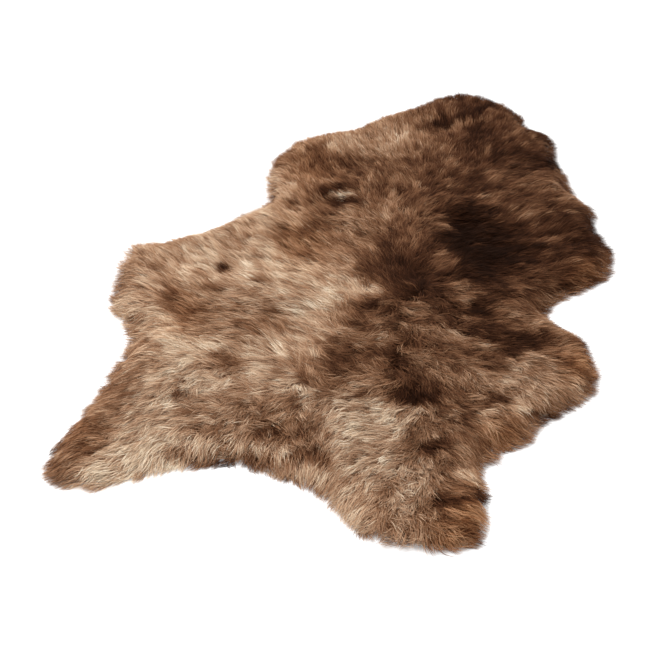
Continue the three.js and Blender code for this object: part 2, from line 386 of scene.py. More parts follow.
# Colour patches by place. Each row: photo x, photo y, half its width, half its height, its tilt on the
# photo in degrees turned from its right, its shade from 0 to 1, and how strongly it takes over
PATCHES = {
    "left flank, streaks": [
        (208, 256, 24, 12, 10, 0.75, 1.0), (188, 260, 8, 5, 0, 0.44, 1.1), (195, 270, 4, 7, 0, 0.50, 1.6),
        # (222, 265) is painted shade in a small dark hollow
        (222, 265, 5, 4, 0, 0.00, 2.8), (226, 281, 12, 6, 0, 0.70, 1.2), (207, 287, 7, 5, 0, 0.43, 2.0),
        (236, 266, 9, 6, 0, 0.76, 1.6), (261, 277, 8, 2.5, 0, 0.34, 1.4),
    ],
    "pale band": [
        (300, 292, 26, 14, -15, 0.78, 1.5), (312, 325, 13, 16, -50, 0.67, 1.2),
        (343, 312, 7, 10, -20, 0.29, 1.8), (286, 322, 10, 6, -30, 0.44, 1.2),
        (285, 337, 14, 5, 0, 0.77, 1.6), (284, 262, 20, 10, 0, 0.71, 1.0), (262, 352, 22, 6, 0, 0.74, 1.5),
        (250, 346, 8, 6, 0, 0.73, 1.6), (300, 350, 13, 5, 0, 0.70, 1.4), (299, 252, 9, 4, -10, 0.46, 1.2),
        (297, 255, 10, 5, 0, 0.41, 1.9), (271, 309, 4, 2.5, -20, 0.30, 1.5), (274, 306, 6, 3, 0, 0.67, 1.4),
        (287, 286, 8, 2, -5, 0.50, 2.0), (292, 314, 9, 5, -30, 0.72, 1.0),
    ],
    "left flank, brown patch": [
        (178, 305, 22, 9, -30, 0.36, 1.2), (203, 325, 12, 8, -30, 0.42, 1.2),
        (195, 332, 16, 6, 0, 0.46, 1.3), (186, 322, 8, 4, 30, 0.44, 1.4), (216, 325, 8, 6, -30, 0.66, 1.4),
        (232, 318, 14, 5, -20, 0.42, 1.1), (243, 297, 30, 7, 0, 0.59, 1.2),
    ],
    "left flank, edge": [
        (145, 252, 14, 8, 0, 0.60, 1.0), (154, 266, 7, 5, 0, 0.46, 1.0), (122, 283, 8, 14, 0, 0.56, 1.0),
        (142, 285, 10, 12, 0, 0.69, 1.5), (130, 303, 12, 6, 0, 0.76, 1.0), (143, 313, 16, 4, 5, 0.80, 1.4),
        (150, 328, 22, 8, 0, 0.70, 1.2),
    ],
    "left groin": [
        (184, 350, 22, 12, 15, 0.91, 1.6), (165, 350, 8, 8, 0, 0.92, 1.8), (150, 345, 6, 5, 0, 0.50, 2.2),
        (186, 345, 6, 14, 0, 0.84, 1.7), (207, 377, 16, 9, 15, 0.74, 1.2),
        (219, 360, 16, 7, -20, 0.23, 1.4), (205, 362, 9, 4, 0, 0.43, 2.1), (224, 370, 9, 5, -20, 0.46, 1.2),
    ],
    "left hind leg": [
        (181, 394, 9, 9, 0, 0.44, 1.2), (187, 384, 7, 10, 0, 0.75, 1.6), (168, 385, 14, 6, 20, 0.68, 1.8),
        (160, 381, 10, 6, 0, 0.81, 1.6), (153, 405, 14, 7, 30, 0.82, 1.6),
        (147, 362, 16, 10, 30, 0.60, 1.0), (125, 362, 14, 6, 0, 0.52, 1.9),
        (108, 395, 14, 14, 0, 0.47, 1.2), (72, 430, 16, 12, 40, 0.40, 1.2), (80, 450, 14, 6, 20, 0.40, 1.0),
        (138, 415, 20, 14, 40, 0.67, 1.2), (150, 434, 14, 8, 20, 0.80, 1.3), (140, 430, 5, 8, 0, 0.80, 1.5),
        (140, 460, 34, 12, 10, 0.87, 1.6), (105, 468, 22, 12, 10, 0.81, 1.6),
        (55, 474, 12, 9, 20, 0.46, 1.2),
    ],
    "tail": [
        (171, 456, 12, 6, 0, 0.15, 1.4), (170, 455, 8, 5, 0, 0.47, 1.5), (252, 411, 30, 7, -10, 0.44, 1.4),
        # (268, 432) is painted shade in a small dimple
        (260, 410, 12, 6, 0, 0.50, 1.7), (268, 432, 7, 4, 0, 0.20, 2.0), (258, 438, 22, 6, 0, 0.44, 1.0),
        (240, 435, 6, 14, 0, 0.69, 1.7), (262, 380, 24, 9, 0, 0.64, 1.2), (250, 375, 12, 8, 0, 0.83, 1.5),
        (232, 394, 26, 6, 0, 0.67, 1.8), (292, 402, 5, 6, 0, 0.32, 1.4), (306, 397, 8, 6, 0, 0.68, 1.6),
        (222, 416, 16, 10, 0, 0.59, 1.0), (220, 414, 9, 6, 0, 0.72, 1.8), (220, 412, 4, 12, 0, 0.67, 1.7),
        (205, 438, 18, 8, 0, 0.48, 1.0), (215, 442, 14, 4, 0, 0.44, 2.1), (197, 449, 16, 8, 0, 0.80, 2.5),
        # (225, 463) is painted shade along the tail end's rim, where the wool curls under
        (205, 460, 8, 5, 0, 0.67, 1.8), (225, 463, 24, 5, 0, 0.18, 2.5), (272, 460, 10, 4, 0, 0.76, 2.0),
        (312, 476, 10, 6, 0, 0.73, 1.6), (320, 483, 6, 6, 0, 0.80, 1.4), (268, 452, 18, 6, 0, 0.64, 1.0),
        (250, 462, 16, 7, 0, 0.50, 1.8), (306, 455, 12, 7, 20, 0.44, 1.3), (300, 458, 8, 6, 0, 0.27, 1.8),
        (323, 464, 7, 9, 0, 0.35, 1.3),
    ],
    "golden loin": [
        (352, 425, 24, 14, 0, 0.82, 1.6), (386, 428, 18, 14, 0, 0.76, 1.2), (371, 404, 18, 5, 5, 0.72, 1.4),
        (337, 440, 14, 12, 0, 0.74, 1.3), (325, 440, 3, 12, 0, 0.50, 1.7), (340, 435, 8, 10, 0, 0.86, 1.5),
        (338, 409, 16, 4, 0, 0.54, 1.3), (367, 446, 10, 5, 0, 0.74, 1.2), (313, 428, 12, 8, 0, 0.46, 1.1),
    ],
    "dark tufts and ring on the back": [
        (357, 320, 9, 7, 0, 0.20, 1.6), (371, 322, 7, 5, 0, 0.54, 1.6), (362, 303, 8, 5, 0, 0.14, 1.6),
        (358, 295, 7, 4, 0, 0.42, 1.8), (339, 345, 12, 13, 0, 0.32, 1.5), (368, 351, 10, 5, 0, 0.26, 1.6),
        (355, 341, 10, 6, 0, 0.50, 1.0), (338, 332, 9, 5, 0, 0.60, 1.4), (330, 320, 12, 5, 0, 0.42, 1.8),
    ],
    "before the loin": [
        (312, 375, 5, 9, 20, 0.66, 1.2), (333, 378, 12, 6, 0, 0.42, 1.0), (330, 375, 10, 6, 0, 0.28, 1.9),
        (362, 373, 10, 5, 0, 0.36, 1.5), (300, 360, 18, 10, -20, 0.38, 1.0), (300, 357, 6, 5, 0, 0.50, 1.6),
        (286, 367, 6, 5, 0, 0.68, 1.6), (318, 372, 20, 9, 0, 0.33, 1.8),
    ],
    "crease on the loin, painted shade and light": [
        # A painted shadow line in the crease, and painted light on the ridge beside it
        (361, 394, 12, 1.5, 12, 0.06, 2.2), (372, 389, 18, 3.5, 5, 0.47, 1.6),
        (370, 395, 12, 3, 0, 0.58, 1.6), (341, 393, 9, 4, 0, 0.58, 1.4),
    ],
    "front of the pale band": [
        (366, 268, 16, 9, -20, 0.24, 1.5), (290, 236, 20, 8, -12, 0.31, 1.5),
        (316, 244, 16, 7, -10, 0.44, 1.2),
    ],
    "left armpit": [
        (245, 228, 16, 7, 25, 0.58, 1.0), (232, 243, 16, 5, 10, 0.50, 1.3), (259, 232, 9, 6, 0, 0.72, 1.5),
        (257, 235, 8, 14, 0, 0.75, 1.5), (243, 241, 12, 5, 10, 0.56, 1.0), (262, 217, 9, 6, 30, 0.70, 1.2),
    ],
    "back, left": [
        (345, 232, 24, 10, 0, 0.48, 1.0), (335, 257, 14, 8, 0, 0.68, 1.4), (340, 255, 8, 5, 0, 0.45, 2.0),
    ],
    "left neck": [
        (349, 137, 16, 4, 15, 0.62, 1.2), (380, 131, 18, 7, 22, 0.50, 1.3),
        (408, 118, 12, 6, 20, 0.46, 1.0), (402, 134, 6, 14, 0, 0.66, 1.5), (430, 108, 22, 4, 15, 0.28, 1.4),
        (417, 146, 14, 8, 0, 0.38, 1.0), (430, 130, 12, 6, 0, 0.34, 1.2),
    ],
    "tufts on the neck": [
        (447, 156, 9, 7, 0, 0.48, 1.2), (448, 167, 10, 4, 0, 0.17, 2.0), (418, 181, 5, 2, 0, 0.62, 1.4),
        (405, 186, 9, 4, 0, 0.28, 1.5), (428, 166, 12, 6, 0, 0.32, 1.6), (432, 181, 12, 6, 0, 0.26, 1.6),
        (408, 161, 9, 6, 0, 0.25, 1.4), (405, 171, 10, 5, 0, 0.46, 1.6), (420, 194, 26, 6, 0, 0.26, 2.0),
        (430, 192, 14, 4, 0, 0.01, 2.0),
    ],
    "left shoulder": [
        (366, 161, 16, 8, 0, 0.20, 1.2), (375, 162, 12, 5, 0, 0.50, 1.8), (372, 150, 14, 5, 5, 0.64, 1.8),
        (378, 190, 9, 10, 0, 0.30, 1.6), (332, 166, 12, 6, 0, 0.31, 1.2), (300, 165, 18, 9, 0, 0.44, 1.2),
        (318, 157, 14, 6, 15, 0.28, 1.0), (285, 168, 10, 6, 0, 0.40, 1.5), (274, 184, 6, 10, 0, 0.68, 1.0),
        (288, 187, 8, 5, -20, 0.68, 1.1), (300, 196, 9, 5, 0, 0.36, 1.8), (295, 215, 10, 8, 0, 0.62, 1.5),
        (297, 190, 6, 4, 0, 0.37, 1.8),
    ],
    "pale tuft in a hollow of painted shade": [
        # The dark rows round the pale tuft at (340, 192) are painted shade in its hollow
        (340, 192, 10, 1.7, 8, 0.82, 3.5), (325, 190, 5, 4, 0, 0.22, 2.0), (339, 201, 11, 3, 5, 0.06, 4.5),
        (344, 185, 10, 3, 5, 0.22, 2.2), (357, 190, 8, 4, 0, 0.36, 1.2),
    ],
    "behind the left shoulder": [
        (368, 204, 22, 8, 0, 0.40, 1.0), (314, 205, 18, 8, 0, 0.36, 1.0), (315, 230, 10, 4, 0, 0.34, 1.4),
        (313, 225, 6, 5, 0, 0.30, 1.6), (390, 215, 14, 10, 0, 0.51, 1.3), (396, 198, 10, 6, 0, 0.56, 1.5),
    ],
    "pale wisp over the dark side": [
        (446, 226, 9, 1.8, -25, 0.60, 4.0),
    ],
    "neck end, with the painted shade and light of its fold": [
        # (466, 111) and the hole at (442, 120) and (444, 121) are painted shade in the fold, (470, 118) is
        # painted light on its lip
        (465, 108, 18, 7, 10, 0.20, 1.6), (466, 111, 26, 1.8, 17, 0.02, 3.6),
        (470, 118, 24, 2.2, 17, 0.36, 2.2), (444, 121, 6, 3, 10, 0.02, 2.5),
        (442, 120, 3.2, 2.2, 0, 0.02, 3.4), (482, 130, 18, 9, 0, 0.16, 2.0),
        (480, 152, 22, 8, 0, 0.16, 2.2), (505, 112, 9, 7, 0, 0.24, 1.2),
    ],
    "right shoulder": [
        (531, 148, 18, 12, 0, 0.19, 2.0), (550, 166, 12, 2.5, -4, 0.06, 2.2),
        (520, 176, 26, 5, -8, 0.30, 1.2), (520, 190, 14, 4, 0, 0.22, 1.6),
        (560, 182, 10, 5, -15, 0.36, 1.2), (560, 190, 8, 4, 0, 0.30, 1.5),
    ],
    "dark side": [
        (480, 186, 20, 9, 0, 0.20, 1.2), (480, 195, 16, 4, 0, 0.39, 1.6), (495, 195, 20, 5, 15, 0.44, 1.3),
        (505, 203, 22, 4, -8, 0.40, 2.0), (520, 214, 22, 5, 8, 0.44, 2.4), (530, 210, 6, 3, 0, 0.28, 1.6),
        (490, 240, 34, 26, 0, -0.08, 3.0), (472, 212, 18, 12, 0, 0.06, 1.4),
    ],
    "right foreleg": [
        (570, 228, 22, 10, 0, 0.06, 1.8), (556, 204, 22, 6, -12, 0.30, 1.2), (592, 216, 8, 5, 0, 0.36, 1.4),
        (542, 238, 26, 3, 6, 0.46, 2.4), (540, 253, 16, 4, 0, 0.24, 1.6), (535, 225, 22, 5, 0, 0.30, 1.8),
        (584, 247, 22, 6, 0, 0.08, 1.4), (610, 258, 6, 12, 0, 0.28, 1.2), (588, 277, 18, 6, 20, 0.34, 1.3),
        (522, 266, 26, 10, 0, 0.19, 1.2), (522, 279, 12, 4, -5, 0.36, 1.8),
        (530, 288, 12, 4, -5, 0.42, 1.8), (556, 281, 16, 8, 20, 0.18, 2.0), (545, 270, 8, 5, 0, 0.14, 1.8),
        (503, 286, 26, 8, 0, 0.12, 1.0),
    ],
    "beside the dark side": [
        (450, 257, 12, 8, 0, 0.42, 1.8), (442, 262, 5, 4, 0, 0.18, 1.7), (435, 245, 9, 8, 0, 0.16, 1.6),
        (438, 222, 9, 6, 0, 0.38, 1.3), (415, 230, 14, 10, 0, 0.32, 1.5), (400, 224, 12, 5, 0, 0.36, 1.5),
        (400, 222, 6, 8, 0, 0.28, 1.8),
    ],
    "dark back": [
        (403, 258, 16, 9, -20, 0.14, 1.4), (389, 278, 12, 8, 0, 0.20, 1.8), (400, 286, 5, 8, 0, 0.10, 2.0),
        (385, 276, 8, 4, 0, 0.12, 2.0), (427, 281, 18, 10, -20, 0.06, 1.6), (376, 238, 14, 8, 0, 0.27, 1.0),
        (383, 240, 5, 6, 0, 0.18, 2.0), (370, 222, 8, 8, 0, 0.42, 1.6),
    ],
    "mottled back": [
        (346, 280, 16, 8, -20, 0.67, 1.0), (362, 286, 10, 5, 0, 0.72, 1.6), (385, 315, 14, 8, 0, 0.26, 1.2),
        (385, 308, 10, 4, 0, 0.38, 1.6), (417, 312, 16, 5, -15, 0.38, 1.2),
        (435, 321, 20, 4, -8, 0.20, 1.6), (415, 305, 12, 4, -10, 0.48, 1.3), (430, 300, 5, 5, 0, 0.10, 2.0),
        (466, 286, 16, 4, -15, 0.46, 2.2), (467, 298, 8, 6, 0, 0.41, 1.6), (446, 309, 9, 7, 0, 0.18, 1.6),
        (448, 290, 8, 5, 0, 0.16, 1.4),
    ],
    "right armpit": [
        (490, 311, 16, 6, -10, 0.07, 1.8), (524, 314, 22, 3.5, -15, 0.46, 1.4),
        (530, 325, 12, 4, 10, 0.48, 1.7), (508, 319, 16, 4, -15, 0.38, 1.4),
        (543, 304, 10, 5, 20, 0.36, 1.2), (535, 310, 8, 4, 0, 0.30, 1.7),
    ],
    "right flank, front": [
        (500, 333, 26, 7, -8, 0.12, 1.8), (537, 337, 16, 6, 0, 0.12, 1.8), (510, 350, 10, 5, 0, 0.16, 1.4),
        (497, 366, 9, 7, -10, 0.28, 2.0), (505, 370, 8, 5, 0, 0.40, 1.8), (564, 333, 10, 5, -30, 0.47, 1.4),
        (580, 350, 10, 9, -20, 0.36, 1.3), (572, 368, 8, 8, 0, 0.36, 1.2), (590, 378, 9, 16, 0, 0.49, 1.3),
    ],
    "back, rear half": [
        (462, 337, 22, 4, -20, 0.54, 1.2), (481, 345, 14, 4, -15, 0.48, 1.4),
        (430, 341, 22, 6, -10, 0.27, 1.3), (428, 334, 12, 4, -10, 0.48, 1.4),
        (396, 350, 14, 12, 0, 0.28, 1.3), (400, 363, 9, 6, 0, 0.16, 1.5), (376, 352, 8, 8, 0, 0.35, 1.0),
        (386, 340, 8, 5, 0, 0.50, 1.3), (430, 368, 18, 7, -20, 0.40, 1.0), (440, 365, 14, 5, -5, 0.50, 1.6),
        (452, 360, 14, 6, -25, 0.30, 1.0), (476, 354, 18, 6, -20, 0.26, 1.6),
    ],
    "right flank, pale": [
        (520, 378, 26, 9, -20, 0.60, 1.6), (535, 402, 20, 8, 10, 0.71, 1.3), (530, 410, 8, 8, 0, 0.65, 1.6),
        (506, 388, 10, 4, -10, 0.44, 1.3), (505, 385, 8, 4, 0, 0.70, 1.5), (563, 376, 9, 8, 0, 0.46, 1.1),
        (487, 374, 14, 7, -25, 0.60, 1.2), (475, 370, 5, 8, 0, 0.38, 1.5), (494, 401, 12, 4, 10, 0.19, 1.6),
        (482, 400, 6, 8, 0, 0.50, 1.6), (494, 387, 14, 4, -8, 0.56, 1.6), (464, 402, 13, 10, 0, 0.36, 1.3),
        (470, 415, 6, 5, 0, 0.24, 2.0), (549, 415, 22, 4, 14, 0.26, 1.5), (572, 400, 14, 8, 20, 0.60, 1.1),
        (565, 404, 14, 4, -20, 0.46, 1.5),
    ],
    "right loin": [
        (412, 398, 24, 6, -5, 0.07, 2.2), (420, 390, 14, 4, 0, 0.37, 1.6), (405, 411, 14, 4, 0, 0.69, 1.4),
        # (436, 448) is painted shade in a small dimple
        (409, 384, 16, 8, 0, 0.24, 1.2), (440, 416, 22, 9, 0, 0.40, 1.0), (436, 448, 12, 4, 8, 0.15, 2.0),
        (420, 456, 14, 6, 0, 0.46, 1.2), (410, 438, 10, 6, 0, 0.33, 1.0),
    ],
    "right groin": [
        (478, 432, 16, 7, 0, 0.48, 1.2), (505, 424, 16, 5, 15, 0.58, 1.1), (518, 440, 16, 6, 10, 0.50, 1.4),
        (482, 460, 14, 6, 10, 0.48, 1.3),
    ],
    "thigh": [
        (455, 462, 16, 8, -20, 0.42, 1.2), (412, 470, 16, 10, 0, 0.62, 1.1),
        (398, 455, 5, 12, 0, 0.50, 1.6), (404, 490, 8, 8, 0, 0.73, 1.5), (434, 477, 12, 6, 0, 0.47, 1.2),
        (420, 500, 16, 14, 0, 0.51, 1.0), (415, 510, 8, 5, 0, 0.60, 1.5), (444, 507, 12, 4, 0, 0.30, 1.2),
        (388, 489, 14, 5, 0, 0.40, 1.3), (381, 476, 11, 5, 0, 0.62, 1.3), (375, 480, 14, 8, 0, 0.66, 1.5),
        (357, 506, 5, 5, 0, 0.42, 1.2), (362, 466, 18, 8, 0, 0.80, 1.0), (345, 460, 6, 6, 0, 0.58, 1.8),
        (338, 484, 14, 12, -40, 0.55, 1.1), (352, 512, 16, 10, -40, 0.68, 1.1),
        (396, 520, 16, 8, 0, 0.60, 1.1), (372, 517, 12, 5, 0, 0.57, 1.2), (405, 543, 26, 7, 0, 0.62, 1.3),
        (384, 529, 10, 5, 0, 0.50, 1.0), (430, 526, 10, 5, 0, 0.56, 1.1),
    ],
    "thigh, outer edge": [
        (478, 482, 13, 3, -20, 0.60, 1.5), (470, 492, 14, 4, -8, 0.40, 1.3),
        (458, 502, 22, 5, 0, 0.15, 2.2), (476, 511, 14, 6, 0, 0.62, 1.5), (475, 510, 8, 5, 0, 0.42, 1.7),
        (458, 522, 15, 4, 5, 0.30, 1.4), (470, 536, 18, 6, 0, 0.37, 1.3), (440, 544, 16, 6, 0, 0.45, 1.2),
        (458, 551, 16, 3, 0, 0.34, 1.3),
    ],
}

# How sharply patches end, and the shade that holds where none reaches, with its small strength
PATCH_EDGE = 0.9
PLAIN_SHADE = 0.52
PLAIN_WEIGHT = 0.05

# Where the brown turns rusty: place, photo x, photo y, reach, amount from 0 to 1
RUSTY = [
    ("right flank tip", 588, 365, 22, 0.9),
    ("right groin edge", 510, 444, 26, 0.7),
    ("right hind leg edge", 474, 515, 26, 1.0),
    ("right hind leg end", 455, 545, 24, 0.8),
    ("reddish dark patch", 300, 238, 30, 0.5),
    ("left shoulder", 310, 163, 26, 0.4),
    ("right foreleg back edge", 592, 275, 22, 0.6),
    ("left flank brown patch", 185, 310, 26, 0.4),
    ("left hind leg outer edge", 75, 430, 30, 0.4),
]

# Where the wool is tousled: place, photo x, photo y, reach, how far locks turn in degrees
TOUSLED = [
    ("back, front half", 410, 235, 38, 26),
    ("back, middle", 420, 285, 32, 30),
    ("back, rear half", 365, 340, 42, 34),
    ("back, rear half", 420, 350, 42, 30),
    ("loin, left", 315, 375, 30, 28),
    ("left groin", 215, 365, 30, 24),
    ("left of the tail", 200, 415, 40, 22),
    ("tail", 262, 420, 42, 34),
    ("left shoulder, hollow", 342, 195, 22, 14),
    ("neck", 440, 150, 34, 24),
    ("thigh", 400, 490, 50, 24),
    ("thigh, lower half", 395, 525, 32, 34),
    ("behind the neck", 385, 207, 26, 32),
    ("right flank", 500, 370, 36, 22),
]

# Wool length against the middling one: place, photo x, photo y, reach, share
LENGTHS = [
    ("left shoulder and neck, short", 360, 140, 70, 0.62),
    ("neck end, short", 480, 115, 55, 0.58),
    ("left hind leg", 90, 450, 60, 0.95),
    ("right foreleg", 570, 240, 60, 1.12),
    ("right flank", 560, 370, 60, 1.05),
    ("right hind leg, rim", 470, 510, 40, 0.95),
    ("left flank", 170, 290, 60, 1.05),
    ("thigh, lower half", 405, 515, 38, 0.78),
    ("behind the neck", 392, 205, 28, 0.75),
    ("tail, rim", 245, 466, 40, 0.75),
]

# How far wool stands beyond the rim, against the middling reach: place, photo x, photo y, reach, share
RIM_REACHES = [
    ("neck end", 458, 96, 40, 1.9),
    ("left shoulder's front edge", 305, 145, 34, 1.5),
    ("foreleg's front edge", 572, 192, 14, 1.2),
    ("foreleg's notch", 596, 220, 8, 0.5),
    ("foreleg's tip", 606, 250, 22, 1.2),
    ("left flank's front corner", 128, 252, 20, 1.9),
    ("left leg's outer edge", 122, 362, 14, 1.5),
    ("left groin's notch", 124, 320, 9, 0.3),
    ("left leg's tip", 48, 470, 22, 1.0),
    ("thigh's lower edge", 395, 549, 26, 2.0),
    ("left shoulder's notch", 268, 195, 12, 0.6),
    ("left groin, inmost", 134, 335, 9, 1.8),
    ("right leg's notch", 493, 458, 8, 1.6),
    ("right flank's tip", 592, 356, 16, 0.6),
    ("right leg, outer tufts", 487, 520, 26, 0.65),
    ("right leg, upper notch", 486, 507, 5, -0.2),
    ("right leg, lower notch", 486, 533, 5, -0.2),
    ("right leg's lower edge", 460, 553, 14, 0.0),
    ("groin's edge", 515, 450, 16, 0.8),
    ("tail's edge", 225, 466, 26, 0.9),
    ("left armpit's edge", 245, 216, 18, 1.5),
    ("right of the tail", 298, 482, 15, 0.8),
    ("armpit", 560, 302, 12, 0.9),
]

# The outline: its points, and the net of triangles that fills it
CURVE_STEPS = 24
RIM_STEPS = 640
SKIN_STEP = 0.025
BASE_STEP = 0.008
FILL_JITTER = 0.2
FILL_GAP = 0.6
FILL_INSIDE = 1
FILL_MERGE = 1e-7

# The working grid, how often fields on it are softened, and what keeps sums in their bounds
GRID_STEP = 0.005
GRID_MARGIN = 0.06
RIM_BLUR = 3
HEIGHT_BLUR = 2
CHUNK = 2000
CAST_HEIGHT = 1.0
NOISE_CELLS = 64
WITHIN_END = 1.001
TINY = 1e-9

# Seeds of what is random
WOOL_SEED = 7
FILL_SEED = 3
SWIRL_SEED = 11
TUFT_SEED = 12

# Locks: their net over the pelt, and their middle lines. Angles are in degrees
LOCK_SPACING = 0.0095
LOCK_JITTER = 0.45
LOCK_OVERHANG = 0.016
LOCK_TURN = 9
LOCK_CURL = 20
TURN_LIMIT = 2
SWIRL_TURN = 14
SWIRL_SIZE = 0.045
TUFT_TURN = 1.2
TUFT_SIZE = 0.022
LENGTH_SPREAD = 0.14
PATH_STEPS = 8
BACK_STEPS = 4

# Blades: how they stand in their lock, and their own shape. More are tried than kept, by SPARE
SPARE = 1.25
SPREAD_LIMIT = 2.5
LOCK_RADIUS = 0.0080
LOCK_DOME = 0.0022
BLADE_SHIFT = 0.1
BLADE_ROLL = 35
SWEEP_POWER = 1.5
WIDTH_SPREAD = (0.7, 1.3)
TIP_TAPER = 0.75
ROOT_DEPTH = 0.013
ROOT_POWER = 1.6
ROOT_MOST = 0.8
FLOOR_GAP = 0.0014
FLOOR_GAP_SPREAD = (0.5, 1.5)
CELL_EDGE = 0.1

# At the rim: the wool turns outwards within RIM_TURN of it, with the strength RIM_PULL
RIM_TURN = 0.022
RIM_PULL = 0.28

# Locks reach between the two distances of RIM_FUZZ beyond the rim, most of them near the first, and
# each blade up to RIM_FUZZ_SPREAD or so more or less. Blades with less than MIN_REACH left are dropped
RIM_FUZZ = (0.014, 0.023)
RIM_FUZZ_POWER = 2
RIM_FUZZ_SPREAD = 0.0036
RIM_TESTS = 13
MIN_REACH = 0.25

# Within RIM_LOOSE of the rim, locks gather less and their blades are finer, down to these shares.
# RIM_LIFT raises the locks that reach far and lowers the short ones
RIM_LOOSE = 0.035
RIM_GATHER = 0.25
RIM_FINE = 0.85
RIM_LIFT = 0.011

# How much the tone varies by lock, by blade and over the pelt, and how little of that dark wool shows.
# A blade takes its colour from a part of its lock, COLOUR_PLACE, and from its own tip, OWN_PLACE
LOCK_SHADE = 0.105
BLADE_SHADE = 0.095
MOTTLE = 0.08
MOTTLES = [{"size": 0.011, "seed": 21}, {"size": 0.028, "seed": 22}]
CALM = 0.35
CALM_LEAST = 0.02
COLOUR_PLACE = (0.5, 0.85)
OWN_PLACE = 0.55
RUST_TINT = (1.12, 0.96, 0.78)

# The two coats of the wool: long outer hair and short fine down
# Each coat's root tone is painted shade: its blades darken towards their roots, deep in the wool; the tip
# tone makes their tips paler
COATS = [
    {
        "name": "long_wool", "parts": ["tail", "loin", "back", "neck"], "count": 112000,
        "stations": (0.0, 0.4, 0.72, 1.0), "length": 0.038, "share": (0.7, 1.0), "width": 0.0009,
        "gather": 0.50, "gather spread": 0.22, "bow": 0.0014, "sweep": 0.0026,
        "lock rise": 0.0020, "rise": 0.0010, "rim share": 0.85, "root painted shade": -0.20, "tip tone": 0.08,
    },
    {
        "name": "fine_wool", "parts": ["rear", "front"], "count": 120000,
        "stations": (0.0, 0.5, 1.0), "length": 0.028, "share": (0.55, 1.0), "width": 0.00075,
        "gather": 0.15, "gather spread": 0.25, "bow": 0.0012, "sweep": 0.0045,
        "lock rise": 0.0014, "rise": 0.0012, "rim share": 1.05, "root painted shade": -0.18, "tip tone": 0.05,
    },
]

# The skin, and the dense wool close to it, which lies BASE_DEPTH under the wool's surface
SKIN_THICKNESS = 0.002
SKIN_INSET = 0.003
BASE_DEPTH = 0.009
BASE_INSET = 0.006
BASE_LEAST = 0.001
# The dense wool's colour is darkened by this painted shade, as it lies deep under the blades
BASE_PAINTED_SHADE = -0.2

# Materials: their shaders' inputs, and those of the noise and relief on them
WOOL_SHADER = {"Roughness": 0.6, "Specular IOR Level": 0.06, "Specular Tint": (1.0, 0.8, 0.62, 1.0)}
WOOL_STREAKS = {"To Min": 0.78, "To Max": 1.22}
WOOL_NOISE = {"Scale": 420.0, "Detail": 3.0}
BASE_NOISE = {"Scale": 260.0, "Detail": 3.0}
BASE_RELIEF = {"Strength": 0.8, "Distance": 0.003}
SUEDE_SHADER = {"Roughness": 0.92, "Sheen Weight": 0.25}
SUEDE_MOTTLE = {"Scale": 9.0, "Detail": 6.0}
SUEDE_COLOURS = [
    {"at": 0.3, "colour": (0.42, 0.31, 0.21, 1.0)},
    {"at": 0.7, "colour": (0.60, 0.48, 0.35, 1.0)},
]
SUEDE_NAP = {"Scale": 700.0, "Detail": 4.0}
SUEDE_RELIEF = {"Strength": 0.35, "Distance": 0.0006}
FLOOR_SHADER = {"Base Color": (0.93, 0.93, 0.93, 1.0), "Roughness": 0.9}

# The stage
FLOOR_SIZE = 9.0
WORLD_INPUTS = {"Color": (1.0, 1.0, 1.0, 1.0), "Strength": 0.75}
LIGHTS = [
    {"name": "key light", "place": (-1.3, -0.2, 2.6), "size": 1.8, "power": 82.0},
    {"name": "fill light", "place": (1.2, -1.8, 2.4), "size": 2.6, "power": 18.0},
]

rng = np.random.default_rng(WOOL_SEED)


# Camera geometry
def camera_axes():
    """The camera's place, and its forward, right and up directions, in the part's frame."""
    back = np.array([
        math.sin(TURN) * math.cos(ELEVATION),
        -math.cos(TURN) * math.cos(ELEVATION),
        math.sin(ELEVATION),
    ])
    place = np.array(AIM) + DISTANCE * back
    forward = -back
    right = np.cross(forward, UPWARDS)
    right /= np.linalg.norm(right)
    return place, forward, right, np.cross(right, forward)


CAMERA_PLACE, FORWARD, RIGHT, UP = camera_axes()
FOCAL = LENS / SENSOR * PHOTO_SIZE


def photo_place(points):
    """Where points of the part, as rows of x, y, z, show on the photograph."""
    seen = points - CAMERA_PLACE
    depth = seen @ FORWARD
    across = PHOTO_SIZE / 2 + FOCAL * (seen @ RIGHT) / depth
    down = PHOTO_SIZE / 2 - FOCAL * (seen @ UP) / depth
    return across, down


def part_place(across, down, height):
    """The place at a given height that shows at a place of the photograph."""
    ray = FORWARD + (across - PHOTO_SIZE / 2) / FOCAL * RIGHT + (PHOTO_SIZE / 2 - down) / FOCAL * UP
    return (CAMERA_PLACE + (height - CAMERA_PLACE[2]) / ray[2] * ray)[:2]


# The outline
def between(a, b, start, end, at):
    """The value at a place between two known ones."""
    return ((end - at) * a + (at - start) * b) / (end - start)


def centripetal(p, t, at):
    """A point of the smooth curve through p[1] and p[2], whose neighbours are p[0] and p[3]."""
    a = [between(p[k], p[k + 1], t[k], t[k + 1], at) for k in range(3)]
    b = [between(a[k], a[k + 1], t[k], t[k + 2], at) for k in range(2)]
    return between(b[0], b[1], t[1], t[2], at)


def smooth_loop(corners, steps):
    """A closed centripetal curve through the corners, as evenly spaced points."""
    count = len(corners)
    dense = []
    for i in range(count):
        p = [corners[(i + k - 1) % count] for k in range(4)]
        gaps = [math.sqrt(np.linalg.norm(b - a)) for a, b in zip(p, p[1:])]
        t = np.r_[0.0, np.cumsum(gaps)]
        for at in np.linspace(t[1], t[2], CURVE_STEPS, endpoint=False):
            dense.append(centripetal(p, t, at))
    dense = np.array(dense + dense[:1])
    run = np.r_[0.0, np.cumsum(np.linalg.norm(np.diff(dense, axis=0), axis=1))]
    even = np.linspace(0.0, run[-1], steps, endpoint=False)
    return np.stack([np.interp(even, run, dense[:, k]) for k in range(2)], axis=1)


